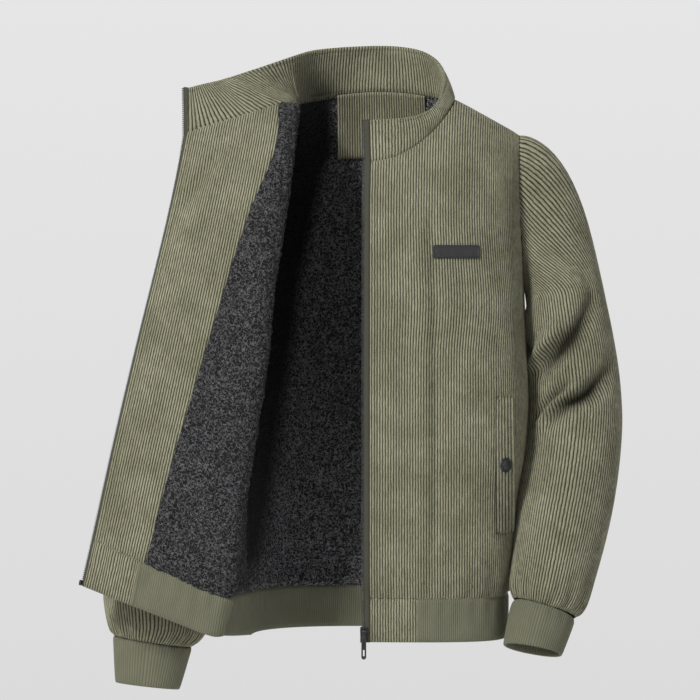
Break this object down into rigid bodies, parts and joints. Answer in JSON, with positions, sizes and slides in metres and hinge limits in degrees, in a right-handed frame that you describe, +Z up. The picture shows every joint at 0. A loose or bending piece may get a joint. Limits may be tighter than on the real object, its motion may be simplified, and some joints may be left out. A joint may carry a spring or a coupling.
{
  "type": "zip jacket",
  "caption": "Corduroy zip jacket with a stand collar, ribbed hem and cuffs and a fleece lining, filled out as worn, its right front turned open",
  "frame": {"origin": "middle of the neck, level with the two points where the shoulder seams meet the collar, where the wearer's neck and shoulders hold the jacket", "axes": "+Z up, the front faces -Y, +X is the wearer's left"},
  "size_m": [0.6824, 0.2546, 0.8329],
  "materials": {
    "corduroy": "ribbed pile, matte",
    "rib": "fine rib knit, matte",
    "fleece": "curly pile fleece, matte",
    "tape": "woven tape, matte",
    "metal": "dark plated, satin",
    "patch": "moulded, satin"
  },
  "bodies": {
    "jacket": {"left_front": "corduroy", "right_front": "corduroy", "back": "corduroy", "left_sleeve": "corduroy", "right_sleeve": "corduroy", "collar_outer": "corduroy", "collar_inner": "corduroy", "back_lining": "fleece", "right_lining": "fleece", "right_facing": "corduroy", "neck_patch": "corduroy", "hem_tab_left": "corduroy", "hem_rib": "rib", "hem_tab_right": "corduroy", "left_cuff": "rib", "right_cuff": "rib", "left_welt": "corduroy", "right_welt": "corduroy", "left_snap": "metal", "right_snap": "metal", "chest_badge": "patch", "zip_tape_left": "tape", "zip_tape_right": "tape", "zip_stop_left": "metal", "zip_stop_right": "metal", "zip_slider": "metal"},
    "zip_pull": {"zip_pull": "metal"}
  },
  "joints": [
    {"name": "pull_hinge", "type": "hinge", "parent": "jacket", "child": "zip_pull", "pos_m": [-0.0067, -0.1265, -0.6688], "axis": [-1, 0, 0], "range_deg": [0, 150]}
  ]
}
